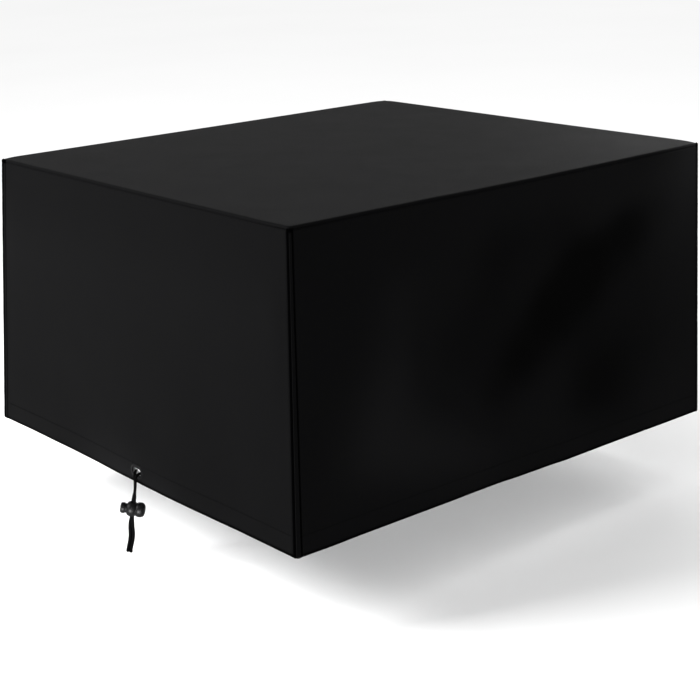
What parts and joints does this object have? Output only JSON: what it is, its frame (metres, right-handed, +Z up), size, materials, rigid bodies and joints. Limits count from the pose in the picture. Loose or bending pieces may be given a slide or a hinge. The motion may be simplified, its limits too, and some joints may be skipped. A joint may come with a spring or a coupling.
{
  "type": "garden storage box cover",
  "caption": "Box-shaped fitted cloth cover with flared walls, bound corners, a turned-up hem and, at one wall's hem, a drawcord that comes out of an eyelet through a cord lock.",
  "frame": {"origin": "middle of the top, on the face that rests on the furniture", "axes": "+Z up, +X along the longer side to the right of the front wall, front wall at -Y, wall with the drawcord at -X"},
  "size_m": [1.307, 1.1547, 0.8112],
  "materials": {
    "cover_cloth": "matte",
    "seam_binding": "matte",
    "drawcord": "matte",
    "eyelet_metal": "satin",
    "lock_plastic": "satin"
  },
  "bodies": {
    "cover": {"top_panel": "cover_cloth", "front_wall": "cover_cloth", "front_top_seam": "seam_binding", "right_wall": "cover_cloth", "right_top_seam": "seam_binding", "back_wall": "cover_cloth", "back_top_seam": "seam_binding", "left_wall": "cover_cloth", "left_top_seam": "seam_binding", "front_left_corner_binding": "seam_binding", "front_right_corner_binding": "seam_binding", "back_right_corner_binding": "seam_binding", "back_left_corner_binding": "seam_binding", "drawcord_eyelet": "eyelet_metal", "drawcord_left_strand": "drawcord", "drawcord_right_strand": "drawcord", "cord_lock_body": "lock_plastic"},
    "lock_button": {"cord_lock_button": "lock_plastic"}
  },
  "joints": [
    {"name": "button_press", "type": "slide", "parent": "cover", "child": "lock_button", "axis": [0.7515, -0.6366, -0.1729], "range_m": [0, 0.004], "stiffness_N_per_m": 800, "springref_m": -0.006}
  ]
}
